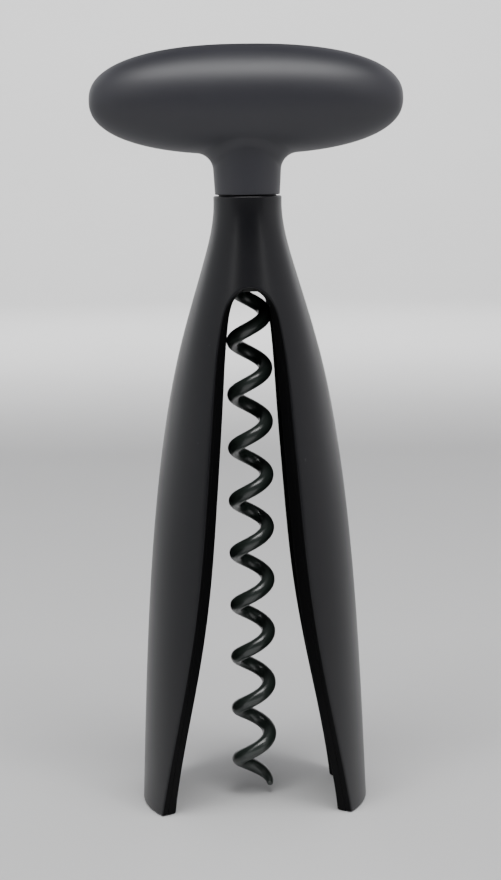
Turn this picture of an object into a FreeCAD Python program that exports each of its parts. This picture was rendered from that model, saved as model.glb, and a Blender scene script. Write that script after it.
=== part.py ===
"""Self-pulling corkscrew: an oval T-handle with a long coated worm turns on top
of a hollow bell-shaped frame whose two legs stand over the bottle's neck.

Millimetres, +Z up. The origin lies on the worm's axis in the plane of the two
leg ends. The legs stand on -X and +X; the frame is open to -Y and +Y.
"""
import FreeCAD, Part
import os
from math import cos, pi, sin, sqrt

V = FreeCAD.Vector

# ---------------------------------------------------------------- driving dimensions
FRAME_HEIGHT = 125.0            # leg ends to the seam on top of the frame's collar
FOOT_RADIUS = 23.4              # frame at the leg ends
LEG_BREADTH = 26.3              # each leg across its end, along Y
CROWN_DEPTH = 17.9              # seam to the crown of the openings
CEILING_DROP = 1.0              # crown of the openings to the hollow's ceiling
HOLLOW_RADIUS = 19.9            # hollow between the legs, at their ends
CEILING_RADIUS = 8.3            # hollow under the ceiling, before its rounding
CEILING_ROUND = 2.0             # rounding between the hollow's wall and its ceiling
COVER_WALL = 1.3                # outer cover of the frame
COVER_FOOT_GAP = 0.15           # cover stops this far above the leg ends
COLLAR_WALL = 1.0               # cover round the sleeve at the seam
FRAME_TOP_DROP = 9.0            # half frames end this far below the seam
BELL_SEAM_ANGLE = 25.0          # where the turned surfaces close, away from every edge

HANDLE_LENGTH = 62.8            # along X
HANDLE_THICKNESS = 21.8         # height of the oval, and its depth along Y
HANDLE_SQUARENESS = 2.35        # exponent of the oval's outline, 2 is an ellipse
HANDLE_TIP_RADIUS = 0.3         # small moulding point on the oval's two ends
GRIP_SKIN = 2.2                 # moulded skin over the handle's core
CORE_END_FLAT = 1.6             # cut off the core's rounded ends
NECK_LENGTH = 7.95              # from the seam line to the underside of the oval
NECK_STEP = 0.35                # neck is this much slimmer than the collar
NECK_FLARE = 0.6                # growth of the neck's radius up to the handle
NECK_FILLET = 3.4               # where the neck runs into the oval
OVAL_STEPS = 8                  # points of the oval's line on each side of its middle

WORM_PITCH = 11.0
WORM_DIAMETER = 9.4             # over the wire
WIRE_DIAMETER = 2.9
WORM_TIP_HEIGHT = 2.3           # point of the worm above the leg ends
WORM_TAPER_TURNS = 0.3          # turns over which the wire runs to its point
TIP_DIAMETER = 1.3              # blunt end of the point
SHANK_TURNS = 0.85              # turns over which the wire swings to the axis
SHANK_LEAD = 0.5                # straight shank below the ferrule
SHANK_STEP = 2.0                # fineness of the straight shank's skin
STATIONS_PER_TURN = 18          # fineness of the worm's skin along the wire
RING_POLES = 12                 # and round it

WORM_PASSAGE = 0.25             # spigot's radius over the worm's, so that it lifts out
SPIGOT_DEPTH = 8.5              # how far the spigot reaches below the seam
SLEEVE_WALL = 0.9               # guide sleeve round spigot and worm
FERRULE_RISE = 2.0              # ferrule's top above the oval's middle
SHANK_DROP = 1.5                # shank's end below the ferrule's top
RUNNING_FIT = 0.05              # radial, spigot in sleeve

WASHER_THICKNESS = 1.0
WASHER_WALL = 0.8
WASHER_FIT = 0.08               # radial, washer on spigot
POCKET_FIT = 0.13               # radial, washer in the neck's pocket
SEAM_GAP = 0.25                 # open line between the neck and the collar
THRUST_PLAY = 0.02              # between the washer and the neck above it

CROSS_PIN_DIAMETER = 1.5
CROSS_PIN_PROUD = 0.7           # how far the pin stands out of the ferrule
CROSS_PIN_DROP = 3.5            # pin below the ferrule's top
SCREW_DIAMETER = 2.4
SCREW_HEAD_DIAMETER = 4.4
SCREW_HEAD_HEIGHT = 1.6
SCREW_SOCKET_DIAMETER = 1.6
SCREW_END_DISTANCE = 10.4       # outer screws from the ends of the oval
SCREW_SINK = 0.8                # head's place, as a share of the core's half depth there
SCREW_REACH = 1.5               # screw's length, as a share of that half depth
DOWEL_RISE = 2.4                # dowels' axes above the hollow's ceiling
DOWEL_WALL = 0.75               # frame left between a dowel and the sleeve or the cover
DOWEL_END_WALL = 0.25           # frame left between a dowel's ends and the cover

PAD_HEIGHT = 12.0               # soft pads inside the leg ends
PAD_BOTTOM = 1.2
PAD_THICKNESS = 1.6
PAD_RELIEF = 0.9                # depth of the pocket that each pad sits in
PAD_EDGE = 5.0                  # frame left between the pad and the leg's edges

# Frame's outer line: share of the way down from the seam, share of the growth
# from the collar's radius to the foot's.
BELL_LINE = ((0.0, 0.0), (0.045, 0.020), (0.100, 0.120), (0.160, 0.256), (0.258, 0.464),
             (0.377, 0.642), (0.577, 0.824), (0.780, 0.928), (1.0, 1.0))

# Edge of the openings on the frame's outer surface: share of the arch's height,
# share of the mouth's half width, from the crown down to the leg ends.
ARCH_LINE = ((1.0, 0.0), (0.982, 0.188), (0.925, 0.305), (0.800, 0.388), (0.615, 0.470),
             (0.430, 0.576), (0.235, 0.755), (0.0, 1.0))

# Hollow's line: share of the way up to the ceiling, share of the narrowing from
# the hollow's radius at the leg ends to its radius under the ceiling.
HOLLOW_LINE = ((0.0, 0.0), (0.13, 0.040), (0.27, 0.155), (0.40, 0.276), (0.60, 0.452),
               (0.83, 0.750), (1.0, 1.0))

# ---------------------------------------------------------------- derived sizes
WIRE_RADIUS = WIRE_DIAMETER / 2
COIL_RADIUS = WORM_DIAMETER / 2 - WIRE_RADIUS
SPIGOT_RADIUS = WORM_DIAMETER / 2 + WORM_PASSAGE
SLEEVE_BORE = SPIGOT_RADIUS + RUNNING_FIT
SLEEVE_RADIUS = SLEEVE_BORE + SLEEVE_WALL
COLLAR_RADIUS = SLEEVE_RADIUS + COLLAR_WALL
NECK_RADIUS = COLLAR_RADIUS - NECK_STEP

HANDLE_HALF = HANDLE_LENGTH / 2
HANDLE_RADIUS = HANDLE_THICKNESS / 2
NECK_BOTTOM = FRAME_HEIGHT + SEAM_GAP
HANDLE_HEIGHT = NECK_BOTTOM + NECK_LENGTH + HANDLE_RADIUS

ARCH_HEIGHT = FRAME_HEIGHT - CROWN_DEPTH
ARCH_HALF = sqrt(FOOT_RADIUS ** 2 - (LEG_BREADTH / 2) ** 2)
CEILING_HEIGHT = ARCH_HEIGHT - CEILING_DROP
FRAME_TOP = FRAME_HEIGHT - FRAME_TOP_DROP

FERRULE_TOP = HANDLE_HEIGHT + FERRULE_RISE
FERRULE_BOTTOM = FRAME_HEIGHT - SPIGOT_DEPTH
SHANK_TOP = FERRULE_TOP - SHANK_DROP
CROSS_PIN_HEIGHT = FERRULE_TOP - CROSS_PIN_DROP
WASHER_BORE = SPIGOT_RADIUS + WASHER_FIT
WASHER_RADIUS = WASHER_BORE + WASHER_WALL
OUTER_SCREW = HANDLE_HALF - SCREW_END_DISTANCE
INNER_SCREW = (SPIGOT_RADIUS + OUTER_SCREW) / 2
FAR = 2 * (FRAME_HEIGHT + HANDLE_LENGTH)    # longer than anything it cuts
CUT_PAST = 2.0                              # how far a cut runs past what it cuts
CUT_NEAR = 1.0                              # start of the openings' cuts beside the axis
CUT_INTO = 0.01                             # how far one cut runs into the cut beside it


# ---------------------------------------------------------------- helpers
def cylinder(radius, bottom, top):
    return Part.makeCylinder(radius, top - bottom, V(0, 0, bottom))


def ring(outer, inner, bottom, top):
    return cylinder(outer, bottom, top).cut(cylinder(inner, bottom - CUT_PAST, top + CUT_PAST))


def spline(points, like=None):
    """Smooth curve through the points, spaced as the points of another are if given."""
    spaced = like or points
    places = [0.0]
    for a, b in zip(spaced, spaced[1:]):
        places.append(places[-1] + a.distanceToPoint(b))
    curve = Part.BSplineCurve()
    curve.interpolate(Points=points, Parameters=places)
    return curve.toShape()


def chain(points):
    return [Part.makeLine(a, b) for a, b in zip(points, points[1:])]


def turned(edges):
    """Solid turned about Z from a closed half profile in the XZ plane."""
    face = Part.Face(Part.Wire(Part.__sortEdges__(edges)))
    return face.revolve(V(0, 0, 0), V(0, 0, 1), 360)


def half_space(axis, side):
    """Large box on one side of the plane through the origin across that axis."""
    low = [-FAR, -FAR, -FAR]
    low[axis] = 0 if side > 0 else -FAR
    size = [2 * FAR, 2 * FAR, 2 * FAR]
    size[axis] = FAR
    return Part.makeBox(size[0], size[1], size[2], V(*low))


def one_solid(shape):
    """The shape's largest solid, with its leftover seams joined."""
    return max(shape.removeSplitter().Solids, key=lambda solid: solid.Volume)


# ---------------------------------------------------------------- the frame
def bell_points(inset):
    """Points of the frame's outer line, moved towards the axis by the inset."""
    growth = FOOT_RADIUS - COLLAR_RADIUS
    return [V(COLLAR_RADIUS + share * growth - inset, 0, FRAME_HEIGHT * (1 - down))
            for down, share in BELL_LINE]


def bell_radius(height):
    """Radius of the frame's outer line at a height, straight between its points."""
    points = bell_points(0)
    for upper, lower in zip(points, points[1:]):
        if height >= lower.z:
            part = (height - lower.z) / (upper.z - lower.z)
            return lower.x + part * (upper.x - lower.x)
    return FOOT_RADIUS


def bell(inset, bottom=0.0, top=FRAME_HEIGHT):
    """Solid bell inside the outer line, between two heights."""
    points = bell_points(inset)
    line = spline(points)
    solid = turned([line] + chain([points[-1], V(0, 0, 0), V(0, 0, FRAME_HEIGHT), points[0]]))
    solid.rotate(V(0, 0, 0), V(0, 0, 1), BELL_SEAM_ANGLE)
    if bottom > 0 or top < FRAME_HEIGHT:
        solid = solid.common(Part.makeBox(FAR, FAR, top - bottom, V(-FAR / 2, -FAR / 2, bottom)))
    return solid


def arch_side():
    """Edge of an opening on the outer surface, and its distance from the middle plane."""
    side = []
    for up, wide in ARCH_LINE:
        height = up * ARCH_HEIGHT
        half = wide * ARCH_HALF
        reach = sqrt(bell_radius(height) ** 2 - half ** 2)
        side.append((half, reach, height))
    return side


def arch_wire(depth):
    """Outline of the opening in the plane y = -depth.

    Its sides lie on level lines from the axis through the edge on the outer
    surface, so the opening's faces run towards the worm's axis.
    """
    edge = arch_side()
    half_there = [V(half, 0, height) for half, reach, height in edge]
    there = [V(-point.x, 0, point.z) for point in reversed(half_there)] + half_there[1:]
    side = [V(half * depth / reach, -depth, height) for half, reach, height in edge]
    left = [V(-point.x, point.y, point.z) for point in reversed(side)]
    outline = spline(left + side[1:], there)
    below = V(0, 0, -CUT_PAST)
    base = chain([side[-1], side[-1] + below, left[0] + below, left[0]])
    return Part.Wire(Part.__sortEdges__([outline] + base))


def openings():
    """The front and back openings as two tapering solids, one per side."""
    front = Part.makeLoft([arch_wire(CUT_NEAR), arch_wire(FOOT_RADIUS + CUT_PAST)], True, True)
    back = front.mirror(V(0, 0, 0), V(0, 1, 0))
    return Part.makeCompound([front, back])


def make_body_cover():
    """Outer cover: a thin bell with both openings, moulded over the half frames."""
    cover = bell(0, COVER_FOOT_GAP).cut(bell(COVER_WALL, 0, FRAME_TOP))
    cover = cover.cut(cylinder(SLEEVE_RADIUS, -CUT_PAST, FRAME_HEIGHT + CUT_PAST)).cut(openings())
    halves = [cover.common(half_space(0, side)) for side in (-1, 1)]
    return halves[0].fuse(halves[1]).Solids[0]


def crown_dowels():
    """Two dowels across the joint of the half frames, beside the sleeve.

    Their thickness and length fill the crown between sleeve and cover, less the walls.
    """
    height = CEILING_HEIGHT + DOWEL_RISE
    room = bell_radius(height) - COVER_WALL
    place = (SLEEVE_RADIUS + room) / 2
    radius = (room - SLEEVE_RADIUS) / 2 - DOWEL_WALL
    half = sqrt((room - DOWEL_END_WALL) ** 2 - (place + radius) ** 2)
    return [Part.makeCylinder(radius, 2 * half, V(-half, side * place, height), V(1, 0, 0))
            for side in (-1, 1)]


def hollow(outward):
    """Room between the legs up to its rounded ceiling, its wall moved outwards."""
    narrowing = HOLLOW_RADIUS - CEILING_RADIUS
    points = [V(HOLLOW_RADIUS - share * narrowing + outward, 0, up * CEILING_HEIGHT)
              for up, share in HOLLOW_LINE]
    axis = [points[-1], V(0, 0, CEILING_HEIGHT), V(0, 0, 0), points[0]]
    room = turned([spline(points)] + chain(axis))
    room.rotate(V(0, 0, 0), V(0, 0, 1), BELL_SEAM_ANGLE)
    rim = [edge for edge in room.Edges if edge.BoundBox.ZMin > CEILING_HEIGHT - CEILING_ROUND]
    return room.makeFillet(CEILING_ROUND, [edge for edge in rim if edge.isClosed()])


def pad_band(outward, inward):
    """Both legs' bands of the hollow's wall where a pad lies, between two offsets."""
    top = PAD_BOTTOM + PAD_HEIGHT
    reach = LEG_BREADTH / 2 - PAD_EDGE
    band = hollow(outward).cut(hollow(-inward))
    return band.common(Part.makeBox(FAR, 2 * reach, top - PAD_BOTTOM, V(-FAR / 2, -reach, PAD_BOTTOM)))


def make_half_frame(side):
    """One structural half: a leg and half of the crown round the sleeve."""
    frame = bell(COVER_WALL, 0, FRAME_TOP).cut(hollow(0)).cut(openings())
    frame = frame.cut(cylinder(SLEEVE_RADIUS, -CUT_PAST, FRAME_HEIGHT + CUT_PAST))
    for dowel in crown_dowels():
        frame = frame.cut(dowel)
    frame = frame.cut(pad_band(PAD_RELIEF, PAD_THICKNESS))
    return one_solid(frame.common(half_space(0, side)))


def make_leg_pad(side):
    """Soft pad in the pocket inside a leg end, which grips the bottle's neck."""
    pad = pad_band(PAD_RELIEF, PAD_THICKNESS - PAD_RELIEF)
    return one_solid(pad.common(half_space(0, side)))


def make_guide_sleeve():
    """Plain bearing for spigot and worm, pressed into the crown."""
    return ring(SLEEVE_RADIUS, SLEEVE_BORE, CEILING_HEIGHT, FRAME_HEIGHT)


# ---------------------------------------------------------------- the handle
def make_thrust_washer():
    """Slip washer that the handle turns on, half sunk into the neck."""
    return ring(WASHER_RADIUS, WASHER_BORE, FRAME_HEIGHT, FRAME_HEIGHT + WASHER_THICKNESS)


def oval(inset):
    """The handle's oval: a squared ellipse turned about its long axis."""
    length = HANDLE_HALF - inset
    radius = HANDLE_RADIUS - inset
    steps = OVAL_STEPS
    power = 2 / HANDLE_SQUARENESS
    points = []
    for step in range(-steps, steps + 1):
        angle = step * pi / 2 / steps
        across = abs(cos(angle)) ** power if abs(step) < steps else 0
        along = abs(sin(angle)) ** power * (1 if step > 0 else -1)
        points.append(V(length * along, 0, max(radius * across, HANDLE_TIP_RADIUS)))
    line = spline(points)
    base = chain([points[-1], V(length, 0, 0), V(-length, 0, 0), points[0]])
    face = Part.Face(Part.Wire([line] + base))
    solid = face.revolve(V(0, 0, 0), V(1, 0, 0), 360)
    solid.translate(V(0, 0, HANDLE_HEIGHT))
    return solid


def make_handle_grip(core):
    """Moulded skin of the oval and its flared neck, closed round the core."""
    top = HANDLE_HEIGHT
    neck = Part.makeCone(NECK_RADIUS, NECK_RADIUS + NECK_FLARE * (top - NECK_BOTTOM) / HANDLE_RADIUS,
                         top - NECK_BOTTOM, V(0, 0, NECK_BOTTOM))
    grip = one_solid(oval(0).fuse(neck))
    low = HANDLE_HEIGHT - HANDLE_RADIUS
    joint = [edge for edge in grip.Edges
             if low - CUT_NEAR < edge.BoundBox.ZMin and edge.BoundBox.ZMax < top
             and edge.BoundBox.XLength > NECK_RADIUS and edge.BoundBox.XMax < 2 * NECK_RADIUS]
    grip = grip.makeFillet(NECK_FILLET, joint)
    pocket = cylinder(WASHER_RADIUS + POCKET_FIT, NECK_BOTTOM - CUT_PAST,
                      FRAME_HEIGHT + WASHER_THICKNESS + THRUST_PLAY)
    hollow = core.fuse(cylinder(SPIGOT_RADIUS, NECK_BOTTOM - CUT_PAST, HANDLE_HEIGHT)).fuse(pocket)
    return one_solid(grip.cut(hollow))


def core_screws():
    """Screws along Y that clamp the two core halves, heads to the front."""
    reach = HANDLE_RADIUS - GRIP_SKIN
    screws = []
    for place in (INNER_SCREW, OUTER_SCREW):
        for side in (-1, 1):
            thick = reach * sqrt(1 - (place / (HANDLE_HALF - GRIP_SKIN)) ** 2)
            front = V(side * place, -SCREW_SINK * thick, HANDLE_HEIGHT)
            head = Part.makeCylinder(SCREW_HEAD_DIAMETER / 2, SCREW_HEAD_HEIGHT, front, V(0, 1, 0))
            socket = Part.makeCylinder(SCREW_SOCKET_DIAMETER / 2, SCREW_HEAD_HEIGHT / 2, front, V(0, 1, 0))
            shaft = Part.makeCylinder(SCREW_DIAMETER / 2, SCREW_REACH * thick, front, V(0, 1, 0))
            screws.append(one_solid(head.cut(socket).fuse(shaft.cut(socket))))
    return screws


def make_core_half(side, core, ferrule, screws, pin):
    """Half of the handle's rigid core, hollowed for ferrule, pin and screws."""
    half = core.common(half_space(1, side))
    half = half.cut(cylinder(SPIGOT_RADIUS, 0, FERRULE_TOP))
    half = half.cut(pin)
    for screw in screws:
        half = half.cut(screw)
        well = Part.makeCylinder(SCREW_HEAD_DIAMETER / 2, FAR, screw_front(screw), V(0, -1, 0))
        half = half.cut(well)
    return one_solid(half)


def screw_front(screw):
    box = screw.BoundBox
    return V(box.Center.x, box.YMin + CUT_INTO, HANDLE_HEIGHT)


def make_ferrule(pin):
    """Turned steel ferrule: spigot below the seam, socket for the worm's shank."""
    body = cylinder(SPIGOT_RADIUS, FERRULE_BOTTOM, FERRULE_TOP)
    body = body.cut(cylinder(WIRE_RADIUS, FERRULE_BOTTOM - CUT_PAST, SHANK_TOP))
    return one_solid(body.cut(pin))


def cross_pin():
    """Pin through ferrule and shank, held in by the core."""
    length = 2 * (SPIGOT_RADIUS + CROSS_PIN_PROUD)
    return Part.makeCylinder(CROSS_PIN_DIAMETER / 2, length,
                             V(0, -length / 2, CROSS_PIN_HEIGHT), V(0, 1, 0))


# ---------------------------------------------------------------- the worm
def smooth(t):
    t = min(max(t, 0.0), 1.0)
    return t * t * (3 - 2 * t)


def pull(count):
    """How far a smooth closed curve stays inside its ring of that many poles."""
    return (2 + cos(2 * pi / count)) / 3


def worm_stations():
    """Centre, direction angle and wire radius along the worm, from point to shank.

    The centre line is a right-handed helix that starts on +X at the point,
    swings in to the axis below the ferrule and ends as a straight shank.
    """
    swing_end = FERRULE_BOTTOM - SHANK_LEAD
    turns = (swing_end - WORM_TIP_HEIGHT) / WORM_PITCH
    count = int(turns * STATIONS_PER_TURN)
    stations = []
    for step in range(count + 1):
        turn = turns * step / count
        coil = COIL_RADIUS * smooth((turns - turn) / SHANK_TURNS) / pull(STATIONS_PER_TURN)
        taper = sqrt(smooth(turn / WORM_TAPER_TURNS))
        wire = TIP_DIAMETER / 2 + (WIRE_RADIUS - TIP_DIAMETER / 2) * taper
        angle = 2 * pi * turn
        centre = V(coil * cos(angle), coil * sin(angle), WORM_TIP_HEIGHT + WORM_PITCH * turn)
        stations.append((centre, angle, wire))
    straight = int((SHANK_TOP - swing_end) / SHANK_STEP)
    for step in range(1, straight + 1):
        height = swing_end + (SHANK_TOP - swing_end) * step / straight
        stations.append((V(0, 0, height), 2 * pi * turns, WIRE_RADIUS))
    return stations


def worm_rings():
    """A ring of poles across the wire at each station."""
    stations = worm_stations()
    rings = []
    for index, (centre, angle, wire) in enumerate(stations):
        before = stations[max(index - 1, 0)][0]
        after = stations[min(index + 1, len(stations) - 1)][0]
        along = (after - before).normalize()
        outward = V(cos(angle), sin(angle), 0)
        outward = (outward - along * outward.dot(along)).normalize()
        side = along.cross(outward)
        reach = wire / pull(RING_POLES)
        turns = [2 * pi * k / RING_POLES for k in range(RING_POLES)]
        rings.append([centre + (outward * cos(t) + side * sin(t)) * reach for t in turns])
    return rings


def make_worm(pin):
    """Wire of the worm as one smooth skin over its rings, closed at both ends."""
    rings = worm_rings()
    along_knots = list(range(len(rings) - 2))
    along_mults = [4] + [1] * (len(along_knots) - 2) + [4]
    round_knots = list(range(RING_POLES + 1))
    surface = Part.BSplineSurface()
    surface.buildFromPolesMultsKnots(rings, along_mults, [1] * len(round_knots), along_knots,
                                     round_knots, False, True, 3, 3)
    skin = surface.toShape()
    ends = [Part.Face(Part.Wire(edge)) for edge in skin.Edges
            if edge.isClosed() and edge.BoundBox.ZLength < WIRE_DIAMETER]
    shell = Part.makeShell([skin] + ends)
    shell.sewShape()
    solid = Part.makeSolid(shell)
    if solid.Volume < 0:
        solid.reverse()
    return one_solid(solid.cut(pin))


# ---------------------------------------------------------------- all nodes
def core_body():
    """Rigid core inside the skin, with flat ends."""
    reach = HANDLE_HALF - GRIP_SKIN - CORE_END_FLAT
    return oval(GRIP_SKIN).common(Part.makeBox(2 * reach, FAR, FAR, V(-reach, -FAR / 2, 0)))


def build():
    core = core_body()
    pin = cross_pin()
    screws = core_screws()
    ferrule = make_ferrule(pin)
    nodes = {
        "body_cover": make_body_cover(),
        "frame_left": make_half_frame(-1),
        "frame_right": make_half_frame(1),
        "crown_dowels": Part.makeCompound(crown_dowels()),
        "guide_sleeve": make_guide_sleeve(),
        "leg_pad_left": make_leg_pad(-1),
        "leg_pad_right": make_leg_pad(1),
        "thrust_washer": make_thrust_washer(),
        "handle_grip": make_handle_grip(core),
        "core_front": make_core_half(-1, core, ferrule, screws, pin),
        "core_back": make_core_half(1, core, ferrule, screws, pin),
        "core_screws": Part.makeCompound(screws),
        "worm_ferrule": ferrule,
        "worm_cross_pin": pin,
        "worm": make_worm(pin),
    }
    os.makedirs("parts", exist_ok=True)
    for name, shape in nodes.items():
        shape.exportStep("parts/" + name + ".step")
        print(name, "valid", shape.isValid(), "volume %.1f" % shape.Volume,
              "z %.2f to %.2f" % (shape.BoundBox.ZMin, shape.BoundBox.ZMax))


build()
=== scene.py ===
from math import cos, pi, radians, sin

import bmesh
import bpy
import numpy as np
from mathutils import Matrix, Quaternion, Vector


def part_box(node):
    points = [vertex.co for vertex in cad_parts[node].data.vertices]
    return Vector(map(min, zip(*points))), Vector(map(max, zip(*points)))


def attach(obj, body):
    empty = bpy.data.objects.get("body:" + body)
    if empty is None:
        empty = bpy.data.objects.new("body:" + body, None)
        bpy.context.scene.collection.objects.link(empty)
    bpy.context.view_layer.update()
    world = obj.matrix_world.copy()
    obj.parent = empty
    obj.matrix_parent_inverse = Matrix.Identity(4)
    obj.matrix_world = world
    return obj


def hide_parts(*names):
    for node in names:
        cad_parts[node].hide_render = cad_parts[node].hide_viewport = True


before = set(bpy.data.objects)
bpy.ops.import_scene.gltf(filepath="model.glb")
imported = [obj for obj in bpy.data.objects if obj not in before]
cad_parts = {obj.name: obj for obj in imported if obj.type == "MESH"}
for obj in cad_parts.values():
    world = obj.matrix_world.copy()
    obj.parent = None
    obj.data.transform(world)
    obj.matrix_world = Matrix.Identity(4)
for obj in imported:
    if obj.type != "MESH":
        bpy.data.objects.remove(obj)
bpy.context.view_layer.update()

# Self-pulling corkscrew. Metres, +Z up along the worm's axis, legs on -X and +X,
# openings to -Y and +Y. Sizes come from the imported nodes' boxes; the named values
# below are what a box can't tell.
MM = 0.001

cover_low, cover_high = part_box("body_cover")
_, half_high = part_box("frame_right")
sleeve_low, sleeve_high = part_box("guide_sleeve")
washer_low, washer_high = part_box("thrust_washer")
grip_low, grip_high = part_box("handle_grip")
ferrule_low, ferrule_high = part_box("worm_ferrule")
_, worm_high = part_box("worm")
pad_low, pad_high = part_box("leg_pad_right")

SEAM = cover_high.z
FOOT_RADIUS = cover_high.x
COVER_WALL = FOOT_RADIUS - half_high.x
SPIGOT_RADIUS = ferrule_high.x
SLEEVE_BORE = SPIGOT_RADIUS + 0.05 * MM
SLEEVE_RADIUS = SLEEVE_BORE + 0.9 * MM
COLLAR_RADIUS = SLEEVE_RADIUS + 1.0 * MM
CROWN = SEAM - 17.9 * MM            # top of the openings
CEILING = CROWN - 1.0 * MM          # top of the hollow
CEILING_ROUND = 2.0 * MM            # rounding under it
HOLLOW_RADIUS = 19.9 * MM           # hollow at the leg ends
CEILING_RADIUS = 8.3 * MM           # and under the ceiling
LEG_BREADTH = 26.3 * MM             # across each leg's end
PARTING = 0.03 * MM                 # left open between the cover and the half frames

EDGE_ROUND = 0.40 * MM              # cover's outer edge round the openings
PARTING_ROUND = 0.07 * MM           # both lips of the line between cover and half frame
INNER_ROUND = 0.45 * MM             # half frame's inner edge
FOOT_ROUND = 0.35 * MM              # leg ends
COLLAR_ROUND = 0.30 * MM            # cover's edge at the seam

CORNER_STEPS = 6                    # points round each rounded edge
FACE_STEPS = 5                      # flat part of an opening's face
TABLE_STEPS = 4000                  # fineness of the tables of the outer line and the arch
HOLLOW_STEPS = 2000
LEG_ROWS = 150                      # rows of a shell from the leg ends to the crown
LEG_CROWDING = 1.7                  # how much closer they lie near the crown
CROWN_ROWS = 60                     # rows above the crown
WALL_COLUMNS = 57                   # points along each wall of a row
FOOT_BLEND = 3.0 * MM               # rise over which the edge's rounding sets in

# Frame's outer line: share of the way down from the seam, share of the growth
# from the collar's radius to the foot's.
BELL_LINE = ((0.0, 0.0), (0.045, 0.020), (0.100, 0.120), (0.160, 0.256), (0.258, 0.464),
             (0.377, 0.642), (0.577, 0.824), (0.780, 0.928), (1.0, 1.0))

# Edge of the openings on the frame's outer surface: share of the crown's height,
# share of the mouth's half width, from the crown down to the leg ends.
ARCH_LINE = ((1.0, 0.0), (0.982, 0.188), (0.925, 0.305), (0.800, 0.388), (0.615, 0.470),
             (0.430, 0.576), (0.235, 0.755), (0.0, 1.0))

# Hollow's line: share of the way up to the ceiling, share of the narrowing.
HOLLOW_LINE = ((0.0, 0.0), (0.13, 0.040), (0.27, 0.155), (0.40, 0.276), (0.60, 0.452),
               (0.83, 0.750), (1.0, 1.0))


# ---------------------------------------------------------------- shapes
class Spline:
    """Cubic line through points, spaced along it by the given places.

    Its second derivatives m solve h0*m0 + 2*(h0 + h1)*m1 + h1*m2 = 6*(slope1 - slope0)
    at each inner point, and its end slopes are those of the cubic through the last
    four points.
    """

    def __init__(self, places, points):
        places, points = np.array(places, float), np.array(points, float)
        count, step = len(places), np.diff(places)
        slope = np.diff(points, axis=0) / step[:, None]
        first = np.polyfit(places[:4] - places[0], points[:4], 3)[-2]
        last = np.polyfit(places[-4:] - places[-1], points[-4:], 3)[-2]
        slopes = np.vstack([first, slope, last])
        before, after = np.append(0, step), np.append(step, 0)
        system = np.diag(2 * (before + after)) + np.diag(step, 1) + np.diag(step, -1)
        self.bend = np.linalg.solve(system, 6 * np.diff(slopes, axis=0))
        self.places, self.points, self.last = places, points, count - 2

    def __call__(self, at):
        at = np.asarray(at, float)
        low = np.clip(np.searchsorted(self.places, at, side="right") - 1, 0, self.last)
        step = (self.places[low + 1] - self.places[low])[:, None]
        a = (self.places[low + 1] - at)[:, None] / step
        b = 1 - a
        curved = (a ** 3 - a) * self.bend[low] + (b ** 3 - b) * self.bend[low + 1]
        return a * self.points[low] + b * self.points[low + 1] + curved * step ** 2 / 6


def spaced(points):
    """Distance along a chain of points, at each of them."""
    steps = np.linalg.norm(np.diff(np.array(points, float), axis=0), axis=1)
    return np.append(0, np.cumsum(steps))


bell_down, bell_share = np.array(BELL_LINE).T
bell_heights = SEAM * (1 - bell_down)
bell_radii = COLLAR_RADIUS + bell_share * (FOOT_RADIUS - COLLAR_RADIUS)
bell_points = np.column_stack([bell_radii, bell_heights])
bell_spline = Spline(spaced(bell_points), bell_points)
bell_table = bell_spline(np.linspace(0, spaced(bell_points)[-1], TABLE_STEPS))


def bell(height):
    """Radius of the frame's outer line at a height."""
    return np.interp(height, bell_table[::-1, 1], bell_table[::-1, 0])


hollow_up, hollow_share = np.array(HOLLOW_LINE).T
hollow_points = np.column_stack([HOLLOW_RADIUS - hollow_share * (HOLLOW_RADIUS - CEILING_RADIUS),
                                 hollow_up * CEILING])
hollow_spline = Spline(spaced(hollow_points), hollow_points)
hollow_table = hollow_spline(np.linspace(0, spaced(hollow_points)[-1], HOLLOW_STEPS))


def hollow(height):
    """Radius of the hollow at a height: its line, less a quarter round under the ceiling."""
    into = np.clip(height - (CEILING - CEILING_ROUND), 0, CEILING_ROUND)
    rounding = CEILING_ROUND - np.sqrt(CEILING_ROUND ** 2 - into ** 2)
    return np.interp(height, hollow_table[:, 1], hollow_table[:, 0]) - rounding


def arch_spline():
    """Edge of an opening as (tangent of its angle from the middle plane, height)."""
    up, wide = np.array(ARCH_LINE).T
    height = up * CROWN
    half = wide * np.sqrt(FOOT_RADIUS ** 2 - (LEG_BREADTH / 2) ** 2)
    straight = np.interp(height, bell_heights[::-1], bell_radii[::-1])
    tangent = half / np.sqrt(straight ** 2 - half ** 2)
    mirror = np.array([-1, 1])
    there = np.column_stack([half, height])
    points = np.column_stack([tangent, height])
    there = np.vstack([there[:0:-1] * mirror, there])
    points = np.vstack([points[:0:-1] * mirror, points])
    return Spline(spaced(there), points)


arch = arch_spline()
ARCH_MIDDLE, ARCH_END = arch.places[len(ARCH_LINE) - 1], arch.places[-1]


def arch_edge(place):
    """Angle from the middle plane and height of the opening's edge."""
    tangent, height = arch(place).T
    return np.arctan(tangent), height


def arch_normal(place):
    """Direction on the surface that points away from the opening, across its edge."""
    step = 1e-5
    angle_a, height_a = arch_edge(place - step)
    angle_b, height_b = arch_edge(place + step)
    along = np.column_stack([bell(height_b) * angle_b - bell(height_a) * angle_a, height_b - height_a])
    along /= np.linalg.norm(along, axis=1)[:, None]
    return -along[:, 1], along[:, 0]


def round_corner(count):
    """Two shares that lead round a quarter circle, ends included."""
    turn = np.linspace(0, pi / 2, count)
    return 1 - np.sin(turn), 1 - np.cos(turn)


def at_angle(radius, angle, height):
    """Points at an angle from the front (-Y) towards +X."""
    radius, angle, height = np.broadcast_arrays(radius, angle, height)
    return np.stack([radius * np.sin(angle), -radius * np.cos(angle), height], axis=-1)


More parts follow.
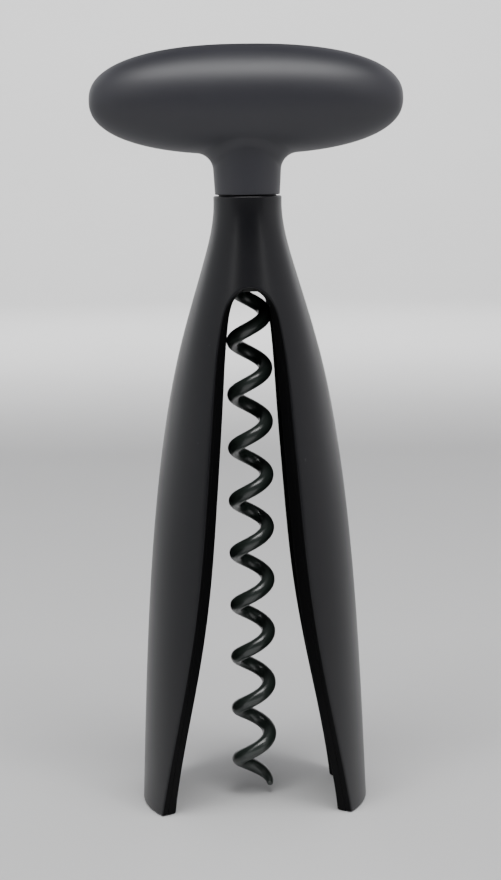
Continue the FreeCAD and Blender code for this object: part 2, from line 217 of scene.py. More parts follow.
def strip_between(outer, corner, face, inner_face, inner_corner, inner, round_steps, flat_steps):
    """Cross line of an opening's face: a quarter round, a flat, a quarter round.

    A quarter round from P to Q about corner C is C + (P - C)(1 - sin t) + (Q - C)(1 - cos t).
    """
    rest, gone = round_corner(round_steps)
    rest, gone = rest[None, :, None], gone[None, :, None]

    def rounded(start, middle, end):
        start, middle, end = start[:, None], middle[:, None], end[:, None]
        return middle + (start - middle) * rest + (end - middle) * gone

    share = np.linspace(0, 1, flat_steps + 1)[None, 1:-1, None]
    flat = face[:, None] * (1 - share) + inner_face[:, None] * share
    first = rounded(outer, corner, face)[:, 1:]
    last = rounded(inner_face, inner_corner, inner)[:, :-1]
    return np.concatenate([first, flat, last], axis=1)


def half_shell(outer, inner, bottom, top, outer_round, inner_round, top_round, joined):
    """Right half of a bell-shaped shell with both openings, as loops stacked upwards.

    Each loop runs along the outer wall from the front edge to the back edge, across
    the back opening's face, back along the inner wall and across the front face.
    Up to the crown the edges follow the arch, r*angle and height shifted by the
    rounding along the edge's normal; above it both halves meet in the plane x = 0.
    With joined the faces in that plane are left out.
    """
    rest, gone = round_corner(CORNER_STEPS)
    leg_places = ARCH_MIDDLE + (ARCH_END - ARCH_MIDDLE) * np.linspace(1, 0, LEG_ROWS) ** LEG_CROWDING
    table = np.linspace(ARCH_MIDDLE, ARCH_END, TABLE_STEPS)
    table_height = arch_edge(table)[1]
    foot_heights = bottom + FOOT_ROUND * gone
    foot_places = np.interp(-foot_heights, -table_height, table)
    above = arch_edge(leg_places)[1] > foot_heights[-1] + 0.1 * MM
    places = np.concatenate([foot_places, leg_places[above]])
    shrink = np.zeros(len(places))
    shrink[:len(rest)] = FOOT_ROUND * rest

    angle, height = arch_edge(places)
    across, upward = arch_normal(places)
    upward = upward * np.clip((height - bottom) / FOOT_BLEND, 0, 1)
    legs = len(places)

    neck_low = height[-1] + max(outer_round, inner_round) + 0.15 * MM
    neck = np.linspace(neck_low, top - top_round, CROWN_ROWS)
    neck = np.append(neck, top - top_round * gone[::-1][1:])
    neck_shrink = np.append(np.zeros(CROWN_ROWS), top_round * rest[::-1][1:])

    def wall(radius_at, rounding, sign, tip_shrink):
        """Height, radius and edge angle of one wall for all rows."""
        level = height + rounding * upward
        radius = radius_at(level) - sign * shrink
        edge = angle + (rounding * across + shrink) / radius_at(level)
        level = np.append(level, neck)
        radius = np.append(radius, radius_at(neck) - sign * tip_shrink)
        return level, radius, np.append(edge, np.zeros(len(neck)))

    columns = WALL_COLUMNS
    share = np.linspace(0, 1, columns)[None, :]

    def sweep(level, radius, edge):
        turn = edge[:, None] + (pi - 2 * edge[:, None]) * share
        return at_angle(radius[:, None], turn, level[:, None])

    out_level, out_radius, out_edge = wall(outer, outer_round, 1, neck_shrink)
    in_level, in_radius, in_edge = wall(inner, inner_round, -1, 0 * neck_shrink)
    out_wall = sweep(out_level, out_radius, out_edge)
    in_wall = sweep(in_level, in_radius, in_edge)[:, ::-1]

    face_angle = angle + shrink / outer(height)
    far, near = outer(height) - shrink, inner(height) + shrink
    front = strip_between(out_wall[:legs, 0],
                          at_angle(far, face_angle, height),
                          at_angle(far - outer_round, face_angle, height),
                          at_angle(near + inner_round, face_angle, height),
                          at_angle(near, face_angle, height),
                          in_wall[:legs, -1], CORNER_STEPS, FACE_STEPS)
    wide = front.shape[1]
    line = np.linspace(0, 1, wide + 2)[None, 1:-1, None]
    plain = out_wall[legs:, :1] * (1 - line) + in_wall[legs:, -1:] * line
    front = np.concatenate([front, plain])
    back = front * np.array([1, -1, 1])
    loops = np.concatenate([out_wall, back, in_wall, front[:, ::-1]], axis=1)

    rows, length = loops.shape[:2]
    row, column = np.meshgrid(np.arange(rows - 1), np.arange(length), indexing="ij")
    following = (column + 1) % length
    if joined:
        on_wall = ((column < columns - 1)
                   | ((column >= columns + wide) & (column < 2 * columns + wide - 1)))
        keep = (row < legs - 1) | on_wall
        row, column, following = row[keep], column[keep], following[keep]
    sides = np.stack([row * length + column, row * length + following,
                      (row + 1) * length + following, (row + 1) * length + column], axis=-1)
    faces = sides.reshape(-1, 4).tolist()

    outside = np.arange(columns)
    inside = columns + wide + outside[::-1]
    for level, turned in ((0, True), (rows - 1, False)):
        start = level * length
        ring = np.column_stack([outside[:-1], outside[1:], inside[1:], inside[:-1]]) + start
        caps = ring.tolist()
        if level == 0 or not joined:
            caps.append((start + np.arange(columns - 1, columns + wide + 1)).tolist())
            tail = np.append(np.arange(2 * columns + wide - 1, length), 0)
            caps.append((start + tail).tolist())
        faces += [face[::-1] for face in caps] if turned else caps
    return loops.reshape(-1, 3), faces


def mirrored(points, faces):
    """The same piece on the other side of the plane x = 0."""
    return points * np.array([-1, 1, 1]), [face[::-1] for face in faces]


def together(*parts):
    """Several pieces of mesh as one."""
    points, faces, start = [], [], 0
    for part_points, part_faces in parts:
        points.append(part_points)
        faces += [[start + corner for corner in face] for face in part_faces]
        start += len(part_points)
    return np.concatenate(points), faces


def grid_faces(rows, columns, closed_across):
    """Quads of a grid, whose last column joins the first if it is closed across."""
    row, column = np.meshgrid(np.arange(rows - 1), np.arange(columns - (not closed_across)),
                              indexing="ij")
    following = (column + 1) % columns
    quads = np.stack([row * columns + column, row * columns + following,
                      (row + 1) * columns + following, (row + 1) * columns + column], axis=-1)
    return quads.reshape(-1, 4).tolist()


def lathe(profile, count=144):
    """Closed profile of (radius, height) turned about Z."""
    profile = np.array(list(profile) + [profile[0]], float)
    turn = np.arange(count) * 2 * pi / count
    points = at_angle(profile[:, :1], turn[None, :], profile[:, 1:])
    return points.reshape(-1, 3), grid_faces(len(profile), count, True)


def rounded_ring(inner, outer, low, high, edge):
    """Section of a ring, its four corners quarter circles of one radius."""
    steps = np.linspace(0, pi / 2, 5)
    section = []
    corners = ((outer - edge, low + edge, -pi / 2), (outer - edge, high - edge, 0),
               (inner + edge, high - edge, pi / 2), (inner + edge, low + edge, pi))
    for radius, height, start in corners:
        section += [(radius + edge * cos(start + step), height + edge * sin(start + step))
                    for step in steps]
    return section


# ---------------------------------------------------------------- handle
HANDLE_HALF = grip_high.x
HANDLE_RADIUS = grip_high.y
HANDLE_HEIGHT = grip_high.z - HANDLE_RADIUS
NECK_BOTTOM = grip_low.z
SQUARENESS = 2.35                   # exponent of the oval's outline, 2 is an ellipse
NECK_RADIUS = COLLAR_RADIUS - 0.35 * MM
NECK_SLOPE = 0.6 * MM / HANDLE_RADIUS
NECK_FILLET = 3.4 * MM
NECK_ROUND = 0.22 * MM
POCKET_RADIUS = washer_high.x + 0.13 * MM
POCKET_TOP = washer_high.z + 0.02 * MM
GRIP_COLUMNS = 256                  # sections round the grip
FILLET_STEPS = 22
OVAL_STEPS = 110
NECK_STEPS = 26
CORNER_SEARCHES = 12                # rounds that find where neck and oval meet


def oval_reach(across, upward, azimuth):
    """Distance from the oval's middle to its surface along a direction.

    The surface is |x/L|^p + (sqrt(y^2 + z^2)/R)^p = 1, so the distance along a
    unit direction is that sum's value there to the power -1/p.
    """
    x, y = across * np.cos(azimuth), across * np.sin(azimuth)
    total = (np.abs(x) / HANDLE_HALF) ** SQUARENESS
    total = total + (np.hypot(y, upward) / HANDLE_RADIUS) ** SQUARENESS
    return total ** (-1 / SQUARENESS)


def oval_slope(out, up, azimuth):
    """Unit direction along the oval's section, outwards and up, at a point of it."""
    x, y = out * np.cos(azimuth), out * np.sin(azimuth)
    girth = np.hypot(y, up)
    pull_x = (np.abs(x) / HANDLE_HALF) ** (SQUARENESS - 1) * np.sign(x) / HANDLE_HALF
    pull = (girth / HANDLE_RADIUS) ** (SQUARENESS - 1) / HANDLE_RADIUS / girth
    steep = pull_x * np.cos(azimuth) + pull * y * np.sin(azimuth)
    along = np.stack([-pull * up, steep], axis=-1)
    return along / np.linalg.norm(along, axis=-1, keepdims=True)


def handle_grip():
    """Oval and neck as one skin: a section in the half plane at each azimuth.

    The section goes up the neck's cone, round a conic arc that touches the cone
    and the oval, and over the oval to its top. The arc's touching points lie
    fillet*tan(turn/2) from the corner, and its middle weight is cos(turn/2).
    """
    around = np.arange(GRIP_COLUMNS) * 2 * pi / GRIP_COLUMNS
    azimuth = np.arctan2(HANDLE_RADIUS * np.sin(around), HANDLE_HALF * np.cos(around))
    corner_out = np.full(len(azimuth), NECK_RADIUS)
    for _ in range(CORNER_SEARCHES):
        x, y = corner_out * np.cos(azimuth), corner_out * np.sin(azimuth)
        girth = HANDLE_RADIUS * (1 - (np.abs(x) / HANDLE_HALF) ** SQUARENESS) ** (1 / SQUARENESS)
        corner_up = -np.sqrt(girth ** 2 - y ** 2)
        corner_out = NECK_RADIUS + NECK_SLOPE * (HANDLE_HEIGHT + corner_up - NECK_BOTTOM)
    neck_way = np.array([NECK_SLOPE, 1]) / np.hypot(NECK_SLOPE, 1)
    way = oval_slope(corner_out, corner_up, azimuth)
    reach = NECK_FILLET * np.tan(np.arccos(way @ neck_way) / 2)
    corner = np.stack([corner_out, corner_up], axis=-1)
    low_touch = corner - reach[:, None] * neck_way
    high_touch = corner + reach[:, None] * way
    length = np.linalg.norm(high_touch, axis=1)
    unit = high_touch / length[:, None]
    high_touch = unit * oval_reach(unit[:, 0], unit[:, 1], azimuth)[:, None]
    way = oval_slope(high_touch[:, 0], high_touch[:, 1], azimuth)
    offset = low_touch - high_touch
    back = (offset[:, 0] * neck_way[1] - offset[:, 1] * neck_way[0])
    back = back / (way[:, 0] * neck_way[1] - way[:, 1] * neck_way[0])
    middle = high_touch + way * back[:, None]
    weight = np.cos(np.arccos(way @ neck_way) / 2)[:, None, None]
    t = np.linspace(0, 1, FILLET_STEPS)[None, :, None]
    first, second, third = (1 - t) ** 2, 2 * t * (1 - t) * weight, t ** 2
    arc = (first * low_touch[:, None] + second * middle[:, None] + third * high_touch[:, None])
    arc = arc / (first + second + third)

    widest = oval_reach(np.ones(len(azimuth)), np.zeros(len(azimuth)), azimuth)
    start = np.arctan2(high_touch[:, 1] / HANDLE_RADIUS, high_touch[:, 0] / widest)
    climb = start[:, None] + (pi / 2 - start[:, None]) * np.linspace(0, 1, OVAL_STEPS)[None, 1:]
    out, up = widest[:, None] * np.cos(climb), HANDLE_RADIUS * np.sin(climb)
    size = np.hypot(out, up)
    reach = oval_reach(out / size, up / size, azimuth[:, None])
    oval = np.stack([out / size * reach, up / size * reach], axis=-1)

    rest, gone = round_corner(CORNER_STEPS)
    foot = NECK_BOTTOM - HANDLE_HEIGHT
    pocket = [(0, POCKET_TOP - HANDLE_HEIGHT), (POCKET_RADIUS, POCKET_TOP - HANDLE_HEIGHT),
              (POCKET_RADIUS, foot)]
    lip = [(NECK_RADIUS - NECK_ROUND * a, foot + NECK_ROUND * b) for a, b in zip(rest, gone)]
    fixed = np.broadcast_to(np.array(pocket + lip)[None], (len(azimuth), len(pocket + lip), 2))
    rise = np.linspace(0, 1, NECK_STEPS)[None, 1:-1, None]
    neck = fixed[:, -1:] * (1 - rise) + low_touch[:, None] * rise
    section = np.concatenate([fixed, neck, arc, oval], axis=1)
    points = np.stack([section[..., 0] * np.cos(azimuth)[:, None],
                       section[..., 0] * np.sin(azimuth)[:, None],
                       section[..., 1] + HANDLE_HEIGHT], axis=-1)
    points = points.transpose(1, 0, 2)
    return points.reshape(-1, 3), grid_faces(points.shape[0], points.shape[1], True)


# ---------------------------------------------------------------- worm
WIRE_RADIUS = 1.45 * MM
COIL_RADIUS = worm_high.x - WIRE_RADIUS
PITCH = 11 * MM
TIP_HEIGHT = 2.3 * MM
TIP_RADIUS = 0.65 * MM
TAPER_TURNS = 0.3
SHANK_TURNS = 0.85
SWING_END = ferrule_low.z - 0.5 * MM
TIP_BULGE = 0.75                    # length of the rounded point, as a share of its radius
TIP_STEPS = 6
WIRE_STATIONS = 560
TIP_CROWDING = 0.035                # how much closer the stations lie near the point
SHANK_STATIONS = 16
WIRE_COLUMNS = 32                   # points round the wire


def smooth(t):
    """0 to 1 as 3t^2 - 2t^3, held outside."""
    t = np.clip(t, 0, 1)
    return t * t * (3 - 2 * t)


def worm_wire():
    """Round wire along a right-handed helix from its point to a straight shank.

    Centre: (c*cos a, c*sin a, tip + pitch*turns), the coil's radius c falling
    smoothly to 0 over the last turns; the wire's radius grows from the point as
    the square root of a smooth step.
    """
    turns = (SWING_END - TIP_HEIGHT) / PITCH
    turn = np.linspace(0, 1, WIRE_STATIONS)
    turn = turns * (turn - TIP_CROWDING * np.sin(pi * turn) * (1 - turn) ** 6)
    coil = COIL_RADIUS * smooth((turns - turn) / SHANK_TURNS)
    angle = 2 * pi * turn
    centre = np.column_stack([coil * np.cos(angle), coil * np.sin(angle), TIP_HEIGHT + PITCH * turn])
    wire = TIP_RADIUS + (WIRE_RADIUS - TIP_RADIUS) * np.sqrt(smooth(turn / TAPER_TURNS))
    shank = np.linspace(SWING_END, worm_high.z, SHANK_STATIONS)[1:]
    centre = np.vstack([centre, np.column_stack([0 * shank, 0 * shank, shank])])
    wire = np.append(wire, np.full(len(shank), WIRE_RADIUS))
    angle = np.append(angle, np.full(len(shank), angle[-1]))

    along = np.gradient(centre, axis=0)
    along /= np.linalg.norm(along, axis=1)[:, None]
    outward = np.column_stack([np.cos(angle), np.sin(angle), 0 * angle])
    outward -= along * np.sum(outward * along, axis=1)[:, None]
    outward /= np.linalg.norm(outward, axis=1)[:, None]
    side = np.cross(along, outward)
    ring = np.arange(WIRE_COLUMNS) * 2 * pi / WIRE_COLUMNS
    round_wire = (outward[:, None] * np.cos(ring)[None, :, None]
                  + side[:, None] * np.sin(ring)[None, :, None]) * wire[:, None, None]
    points = centre[:, None] + round_wire
    top = np.repeat(centre[-1][None, None], WIRE_COLUMNS, axis=1)
    round_end = np.linspace(pi / 2, 0, TIP_STEPS, endpoint=False)[:, None, None]
    tip = (centre[0] - along[0] * TIP_RADIUS * TIP_BULGE * np.sin(round_end)
           + (points[:1] - centre[0]) * np.cos(round_end))
    points = np.concatenate([tip, points, top])
    return points.reshape(-1, 3), grid_faces(len(points), WIRE_COLUMNS, True)


# ---------------------------------------------------------------- soft pads
def leg_pad():
    """Right soft pad: a pillow-edged band on the leg's inner wall.

    Over the pad's face (y, z) the surface lies at the inner line's radius minus
    the swell. The swell falls off as ((1 - |z share|^14) * (1 - |y share|^22))^0.4.
    """
    rows, columns = 40, 60
    sunk = 0.5 * MM
    swell = 1.15 * MM
    share_z, share_y = np.linspace(-1, 1, rows)[:, None], np.linspace(-1, 1, columns)[None, :]
    height = (pad_low.z + pad_high.z) / 2 + share_z * (pad_high.z - pad_low.z) / 2
    y = share_y * pad_high.y
    edge = (1 - np.abs(share_z) ** 14) * (1 - np.abs(share_y) ** 22)
    base = hollow(height) + sunk
    front = base - swell * np.clip(edge, 0, 1) ** 0.4
    sheets = [np.stack(np.broadcast_arrays(np.sqrt(radius ** 2 - y ** 2), y, height), axis=-1)
              for radius in (front, base + 0 * y)]
    first = sheets[0].reshape(-1, 3), grid_faces(rows, columns, False)
    second = sheets[1].reshape(-1, 3), [face[::-1] for face in grid_faces(rows, columns, False)]
    return together(first, second)


# ---------------------------------------------------------------- materials
def socket_group(name, inputs, outputs):
    """Empty node group with named inputs (name, kind, value) and outputs."""
    tree = bpy.data.node_groups.new(name, "ShaderNodeTree")
    for label, kind, value in inputs:
        socket = tree.interface.new_socket(label, in_out="INPUT", socket_type="NodeSocket" + kind)
        if value is not None:
            socket.default_value = value
    for label, kind in outputs:
        tree.interface.new_socket(label, in_out="OUTPUT", socket_type="NodeSocket" + kind)
    return tree, tree.nodes.new("NodeGroupInput"), tree.nodes.new("NodeGroupOutput")


def maths(tree, kind, first, second, third=None):
    """Maths node on sockets or numbers."""
    node = tree.nodes.new("ShaderNodeMath")
    node.operation = kind
    for slot, value in enumerate((first, second, third)):
        if isinstance(value, bpy.types.NodeSocket):
            tree.links.new(value, node.inputs[slot])
        elif value is not None:
            node.inputs[slot].default_value = value
    return node.outputs[0]


def noise(tree, vector, scale, detail, rough=0.55):
    node = tree.nodes.new("ShaderNodeTexNoise")
    tree.links.new(vector, node.inputs["Vector"])
    if isinstance(scale, bpy.types.NodeSocket):
        tree.links.new(scale, node.inputs["Scale"])
    else:
        node.inputs["Scale"].default_value = scale
    node.inputs["Detail"].default_value = detail
    node.inputs["Roughness"].default_value = rough
    return node.outputs["Fac"]


def moulded_grain_group():
    """Fine spark-eroded grain of a mould: small cells over a softer swell."""
    tree, given, result = socket_group(
        "moulded_grain", [("Vector", "Vector", None), ("Scale", "Float", 4000.0)],
        [("Height", "Float"), ("Mask", "Float")])
    fine = noise(tree, given.outputs["Vector"], given.outputs["Scale"], 2.0)
    wide_scale = maths(tree, "MULTIPLY", given.outputs["Scale"], 0.14)
    wide = noise(tree, given.outputs["Vector"], wide_scale, 3.0)
    height = maths(tree, "MULTIPLY_ADD", wide, 0.5, fine)
    tree.links.new(height, result.inputs["Height"])
    tree.links.new(wide, result.inputs["Mask"])
    return tree


def handled_gloss_group():
    """Roughness that changes slowly where hands have polished a surface."""
    tree, given, result = socket_group(
        "handled_gloss", [("Vector", "Vector", None), ("Scale", "Float", 45.0),
                          ("Roughness", "Float", 0.4), ("Change", "Float", 0.05)],
        [("Roughness", "Float"), ("Mask", "Float")])
    cloud = noise(tree, given.outputs["Vector"], given.outputs["Scale"], 3.0)
    centred = maths(tree, "SUBTRACT", cloud, 0.5)
    swing = maths(tree, "MULTIPLY", centred, given.outputs["Change"])
    doubled = maths(tree, "MULTIPLY_ADD", swing, 4.0, given.outputs["Roughness"])
    tree.links.new(doubled, result.inputs["Roughness"])
    tree.links.new(cloud, result.inputs["Mask"])
    return tree


def specks_group():
    """Sparse pale specks, as of dust and tiny scuffs: noise above a threshold."""
    tree, given, result = socket_group(
        "specks", [("Vector", "Vector", None), ("Scale", "Float", 900.0), ("Share", "Float", 0.3)],
        [("Mask", "Float")])
    spots = noise(tree, given.outputs["Vector"], given.outputs["Scale"], 1.0, 0.4)
    where = noise(tree, given.outputs["Vector"], 60.0, 2.0)
    level = maths(tree, "SUBTRACT", 1.02, given.outputs["Share"])
    above = maths(tree, "SUBTRACT", spots, level)
    sharp = maths(tree, "MULTIPLY", above, 9.0)
    mask = tree.nodes.new("ShaderNodeClamp")
    tree.links.new(sharp, mask.inputs["Value"])
    both = maths(tree, "MULTIPLY", mask.outputs["Result"], where)
    tree.links.new(both, result.inputs["Mask"])
    return tree


GRAIN = moulded_grain_group()
GLOSS = handled_gloss_group()
SPECKS = specks_group()


def place_group(tree, group, vector, **values):
    node = tree.nodes.new("ShaderNodeGroup")
    node.node_tree = group
    tree.links.new(vector, node.inputs["Vector"])
    for name, value in values.items():
        node.inputs[name].default_value = value
    return node


def plastic(name, colour, roughness, change=0.03, specular=0.5, grain=4000.0, relief=0.25,
            dust=0.30, cloud=1.25):
    """Moulded plastic: colour clouded a little, handled gloss, mould grain, sparse dust."""
    material = bpy.data.materials.new(name)
    material.use_nodes = True
    tree = material.node_tree
    shader = tree.nodes["Principled BSDF"]
    coordinates = tree.nodes.new("ShaderNodeTexCoord").outputs["Object"]
    gloss = place_group(tree, GLOSS, coordinates, Roughness=roughness, Change=change)
    surface = place_group(tree, GRAIN, coordinates, Scale=grain)
    dusty = place_group(tree, SPECKS, coordinates, Share=dust)

    clouded = tree.nodes.new("ShaderNodeMix")
    clouded.data_type = "RGBA"
    clouded.inputs["A"].default_value = (*[c / cloud for c in colour], 1)
    clouded.inputs["B"].default_value = (*[c * cloud for c in colour], 1)
    tree.links.new(gloss.outputs["Mask"], clouded.inputs["Factor"])
    dusted = tree.nodes.new("ShaderNodeMix")
    dusted.data_type = "RGBA"
    dusted.inputs["B"].default_value = (0.06, 0.06, 0.065, 1)
    tree.links.new(clouded.outputs["Result"], dusted.inputs["A"])
    tree.links.new(dusty.outputs["Mask"], dusted.inputs["Factor"])
    tree.links.new(dusted.outputs["Result"], shader.inputs["Base Color"])
    tree.links.new(gloss.outputs["Roughness"], shader.inputs["Roughness"])

    bump = tree.nodes.new("ShaderNodeBump")
    bump.inputs["Strength"].default_value = relief
    bump.inputs["Distance"].default_value = 0.02 * MM
    tree.links.new(surface.outputs["Height"], bump.inputs["Height"])
    tree.links.new(bump.outputs["Normal"], shader.inputs["Normal"])
    shader.inputs["Specular IOR Level"].default_value = specular
    return material


def turned_steel(name, colour, roughness):
    """Bare turned steel: fine tool rings along Z and a clouded brightness."""
    material = bpy.data.materials.new(name)
    material.use_nodes = True
    tree = material.node_tree
    shader = tree.nodes["Principled BSDF"]
    coordinates = tree.nodes.new("ShaderNodeTexCoord").outputs["Object"]
    squeeze = tree.nodes.new("ShaderNodeMapping")
    squeeze.inputs["Scale"].default_value = (60, 60, 9000)
    tree.links.new(coordinates, squeeze.inputs["Vector"])
    rings = noise(tree, squeeze.outputs["Vector"], 1.0, 2.0)
    gloss = place_group(tree, GLOSS, coordinates, Roughness=roughness, Change=0.05, Scale=300.0)
    clouded = tree.nodes.new("ShaderNodeMix")
    clouded.data_type = "RGBA"
    clouded.inputs["A"].default_value = (*[c * 0.8 for c in colour], 1)
    clouded.inputs["B"].default_value = (*colour, 1)
    tree.links.new(rings, clouded.inputs["Factor"])
    tree.links.new(clouded.outputs["Result"], shader.inputs["Base Color"])
    tree.links.new(gloss.outputs["Roughness"], shader.inputs["Roughness"])
    bump = tree.nodes.new("ShaderNodeBump")
    bump.inputs["Strength"].default_value = 0.3
    bump.inputs["Distance"].default_value = 0.01 * MM
    tree.links.new(rings, bump.inputs["Height"])
    tree.links.new(bump.outputs["Normal"], shader.inputs["Normal"])
    shader.inputs["Metallic"].default_value = 1.0
    return material


cover_black = plastic("satin_black_cover", (0.003, 0.003, 0.0045), 0.33, specular=0.36, dust=0.22)
grip_black = plastic("satin_black_grip", (0.023, 0.023, 0.029), 0.45, specular=0.5, dust=0.22)
# Dark frame plastic, also put on the cover's faces in the openings as painted shade.
frame_black_and_reveal_shade = plastic("dark_frame_plastic_and_reveal_shade", (0.0018, 0.0018, 0.0022), 0.62, specular=0.1, dust=0.22)
core_black = plastic("core_plastic", (0.02, 0.02, 0.022), 0.5)
bearing_black = plastic("bearing_plastic", (0.004, 0.005, 0.0045), 0.34, specular=0.3, dust=0.22)
washer_black = plastic("washer_plastic", (0.004, 0.004, 0.005), 0.4, specular=0.2, dust=0.22)
pad_black = plastic("soft_pad_rubber", (0.008, 0.010, 0.008), 0.72, specular=0.2, grain=2500.0)
worm_black = plastic("worm_coating", (0.022, 0.030, 0.026), 0.30, change=0.035, specular=0.8,
                     grain=2600.0, relief=0.3, dust=0.22)
steel = turned_steel("plain_steel", (0.55, 0.55, 0.56), 0.33)


# ---------------------------------------------------------------- pieces
REVEAL_TURN = 0.55                  # faces turned further from outwards than this belong to the reveal and get painted shade


def piece(name, shape, material, body, slot, *nodes, reveal_shade=None):
    """Mesh piece from (points, faces) that rides on a body and stands for CAD nodes.

    Given a second material, the faces that don't look outwards from the axis get it, as painted shade on
    the faces of the openings.
    """
    points, faces = shape
    mesh = bpy.data.meshes.new(name)
    mesh.from_pydata(points.tolist(), [], faces)
    work = bmesh.new()
    work.from_mesh(mesh)
    bmesh.ops.remove_doubles(work, verts=work.verts, dist=0.0005 * MM)
    bmesh.ops.delete(work, geom=[v for v in work.verts if not v.link_faces], context="VERTS")
    bmesh.ops.recalc_face_normals(work, faces=work.faces)
    work.to_mesh(mesh)
    work.free()
    mesh.shade_smooth()
    mesh.set_sharp_from_angle(angle=radians(42))
    mesh.materials.append(material)
    if reveal_shade:
        mesh.materials.append(reveal_shade)
        count = len(mesh.polygons)
        normal, centre = np.empty(3 * count), np.empty(3 * count)
        mesh.polygons.foreach_get("normal", normal)
        mesh.polygons.foreach_get("center", centre)
        normal, centre = normal.reshape(-1, 3), centre.reshape(-1, 3)
        outward = np.sum(normal[:, :2] * centre[:, :2], axis=1) / np.linalg.norm(centre[:, :2], axis=1)
        # Faces looking into the openings get the dark second material: painted shade.
        shaded_reveal_faces = (outward < REVEAL_TURN) & (centre[:, 2] < CROWN + 1 * MM)
        mesh.polygons.foreach_set("material_index", shaded_reveal_faces.astype(np.int32))
    made = bpy.data.objects.new(name, mesh)
    bpy.context.scene.collection.objects.link(made)
    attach(made, body)
    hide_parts(*nodes)
    return made


def cover_inner(height):
    return np.where(height < half_high.z, bell(height) - COVER_WALL, SLEEVE_RADIUS)


def half_outer(height):
    return bell(height) - COVER_WALL - PARTING


def half_inner(height):
    return np.where(height < CEILING, hollow(height), SLEEVE_RADIUS)


cover_half = half_shell(bell, cover_inner, cover_low.z, SEAM, EDGE_ROUND, PARTING_ROUND,
                        COLLAR_ROUND, True)
# The cover's faces in the openings take the dark frame plastic: painted shade where the satin cover lies
# in shade.
piece("cover_skin", together(cover_half, mirrored(*cover_half)), cover_black, "frame",
      "shell_plastic", "body_cover", reveal_shade=frame_black_and_reveal_shade)

frame_half = half_shell(half_outer, half_inner, 0.0, half_high.z, PARTING_ROUND, INNER_ROUND,
                        PARTING_ROUND, False)
piece("half_frame_right", frame_half, frame_black_and_reveal_shade, "frame", "frame_plastic", "frame_right")
piece("half_frame_left", mirrored(*frame_half), frame_black_and_reveal_shade, "frame", "frame_plastic", "frame_left")

sleeve_section = rounded_ring(SLEEVE_BORE, SLEEVE_RADIUS, sleeve_low.z, sleeve_high.z, 0.2 * MM)
piece("sleeve_ring", lathe(sleeve_section), bearing_black, "frame", "bearing_plastic", "guide_sleeve")

pad = leg_pad()
piece("pad_right", pad, pad_black, "frame", "soft_rubber", "leg_pad_right")
piece("pad_left", mirrored(*pad), pad_black, "frame", "soft_rubber", "leg_pad_left")

washer_section = rounded_ring(SPIGOT_RADIUS + 0.08 * MM, washer_high.x,
                              washer_low.z, washer_high.z, 0.1 * MM)
piece("slip_ring", lathe(washer_section), washer_black, "slip_washer", "washer_plastic",
      "thrust_washer")

piece("grip_skin", handle_grip(), grip_black, "screw_unit", "grip_plastic", "handle_grip")
piece("worm_wire", worm_wire(), worm_black, "screw_unit", "worm_coating", "worm")

carried = {"crown_dowels": steel, "core_front": core_black, "core_back": core_black,
           "core_screws": steel, "worm_ferrule": steel, "worm_cross_pin": steel}
for node, material in carried.items():
    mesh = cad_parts[node].data
    mesh.materials.clear()
    mesh.materials.append(material)


# ---------------------------------------------------------------- studio
FLOOR_REACH = 1.4                   # level part of the floor
FLOOR_BEND = 0.5                    # radius of its turned-up rim
FLOOR_COLUMNS = 96
LIGHT_AIM = (0, 0, 0.09)            # middle of the object


def plain_paper():
    """Pale paper of floor and backdrop, a little uneven."""
    material = bpy.data.materials.new("pale_paper")
    material.use_nodes = True
    tree = material.node_tree
    shader = tree.nodes["Principled BSDF"]
    coordinates = tree.nodes.new("ShaderNodeTexCoord").outputs["Object"]
    gloss = place_group(tree, GLOSS, coordinates, Roughness=0.8, Change=0.03, Scale=6.0)
    mix = tree.nodes.new("ShaderNodeMix")
    mix.data_type = "RGBA"
    mix.inputs["A"].default_value = (0.60, 0.60, 0.60, 1)
    mix.inputs["B"].default_value = (0.64, 0.64, 0.64, 1)
    tree.links.new(gloss.outputs["Mask"], mix.inputs["Factor"])
    tree.links.new(mix.outputs["Result"], shader.inputs["Base Color"])
    tree.links.new(gloss.outputs["Roughness"], shader.inputs["Roughness"])
    shader.inputs["Specular IOR Level"].default_value = 0.2
    return material


def floor_disc():
    """Round pale floor at the leg ends' level, turned up softly at its rim."""
    bend = np.linspace(0.1, pi / 2, 16)
    level = np.linspace(0, FLOOR_REACH, 40)
    reach = np.append(level, FLOOR_REACH + FLOOR_BEND * np.sin(bend))
    lift = np.append(0 * level, FLOOR_BEND * (1 - np.cos(bend)))
    turn = np.arange(FLOOR_COLUMNS) * 2 * pi / FLOOR_COLUMNS
    points = at_angle(reach[:, None], turn[None, :], lift[:, None])
    mesh = bpy.data.meshes.new("floor")
    mesh.from_pydata(points.reshape(-1, 3).tolist(), [], grid_faces(len(reach), FLOOR_COLUMNS, True))
    mesh.shade_smooth()
    mesh.materials.append(plain_paper())
    made = bpy.data.objects.new("floor", mesh)
    bpy.context.scene.collection.objects.link(made)


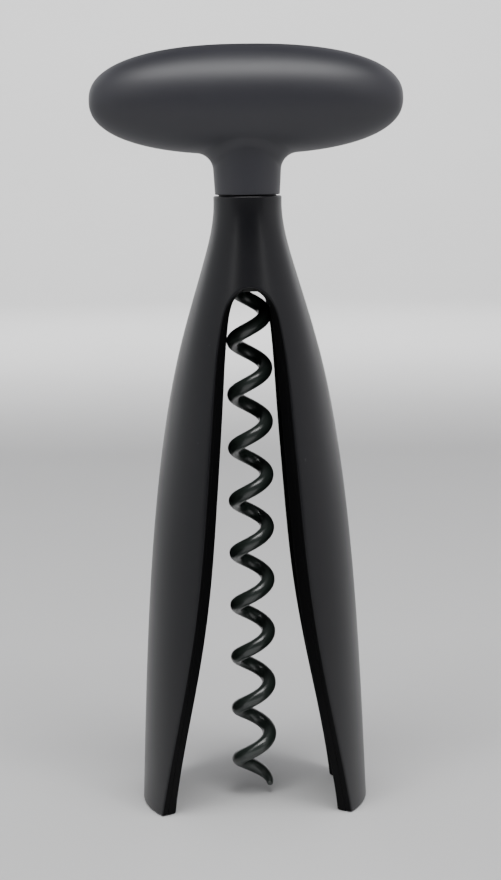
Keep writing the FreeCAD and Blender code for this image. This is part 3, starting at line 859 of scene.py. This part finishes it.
def soft_light(name, azimuth, elevation, distance, width, height, power, colour=(1, 1, 1), aim=None):
    """Soft box that faces the middle of the object or its aim; azimuth 0 is the camera's side."""
    target = Vector(LIGHT_AIM)
    back = Vector((sin(radians(azimuth)) * cos(radians(elevation)),
                   -cos(radians(azimuth)) * cos(radians(elevation)), sin(radians(elevation))))
    data = bpy.data.lights.new(name, "AREA")
    data.shape = "RECTANGLE"
    data.size, data.size_y = width, height
    data.energy = power
    data.color = colour
    made = bpy.data.objects.new(name, data)
    made.location = target + back * distance
    made.rotation_mode = "QUATERNION"
    facing = Vector(aim) - made.location if aim else -back
    made.rotation_quaternion = facing.to_track_quat("-Z", "Y")
    bpy.context.scene.collection.objects.link(made)


floor_disc()
soft_light("left_wall", -96, 24, 0.9, 1.7, 1.0, 4.4, (0.97, 0.98, 1.0))
soft_light("right_wall", 96, 24, 0.9, 1.7, 1.0, 4.4, (0.98, 0.97, 1.0))
soft_light("left_back", -150, 24, 1.25, 0.9, 0.8, 1.8, (0.97, 0.98, 1.0))
soft_light("right_back", 150, 24, 1.25, 0.9, 0.8, 1.8, (0.98, 0.97, 1.0))
soft_light("top_box", 0, 68, 0.85, 0.9, 0.4, 10)
soft_light("worm_left", -40, 30, 0.8, 0.10, 0.5, 0.5)
soft_light("worm_right", 40, 30, 0.8, 0.10, 0.5, 0.5)
soft_light("backdrop_light", 180, 40, 1.1, 1.2, 0.5, 26, aim=(0, 2.0, 0.25))

world = bpy.data.worlds.new("dim_room")
world.use_nodes = True
world.node_tree.nodes["Background"].inputs["Color"].default_value = (0.75, 0.76, 0.8, 1)
world.node_tree.nodes["Background"].inputs["Strength"].default_value = 0.06
bpy.context.scene.world = world

# ---------------------------------------------------------------- camera
CAMERA_DISTANCE = 0.379             # from the worm's axis, level
CAMERA_HEIGHT = 0.132
CAMERA_PITCH = 8.5                  # degrees below level
CAMERA_YAW = -1.75                  # degrees round from the front, towards -X
CAMERA_LEAN = -0.72                 # degrees about the line of sight
CAMERA_LENS = 76.5

camera_data = bpy.data.cameras.new("camera")
camera_data.sensor_width = 36
camera_data.lens = CAMERA_LENS
camera = bpy.data.objects.new("camera", camera_data)
yaw, pitch = radians(CAMERA_YAW), radians(CAMERA_PITCH)
camera.location = (CAMERA_DISTANCE * sin(yaw), -CAMERA_DISTANCE * cos(yaw), CAMERA_HEIGHT)
sight = Vector((-sin(yaw) * cos(pitch), cos(yaw) * cos(pitch), -sin(pitch)))
camera.rotation_mode = "QUATERNION"
camera.rotation_quaternion = sight.to_track_quat("-Z", "Y") @ Quaternion((0, 0, 1), radians(CAMERA_LEAN))
bpy.context.scene.collection.objects.link(camera)
bpy.context.scene.camera = camera
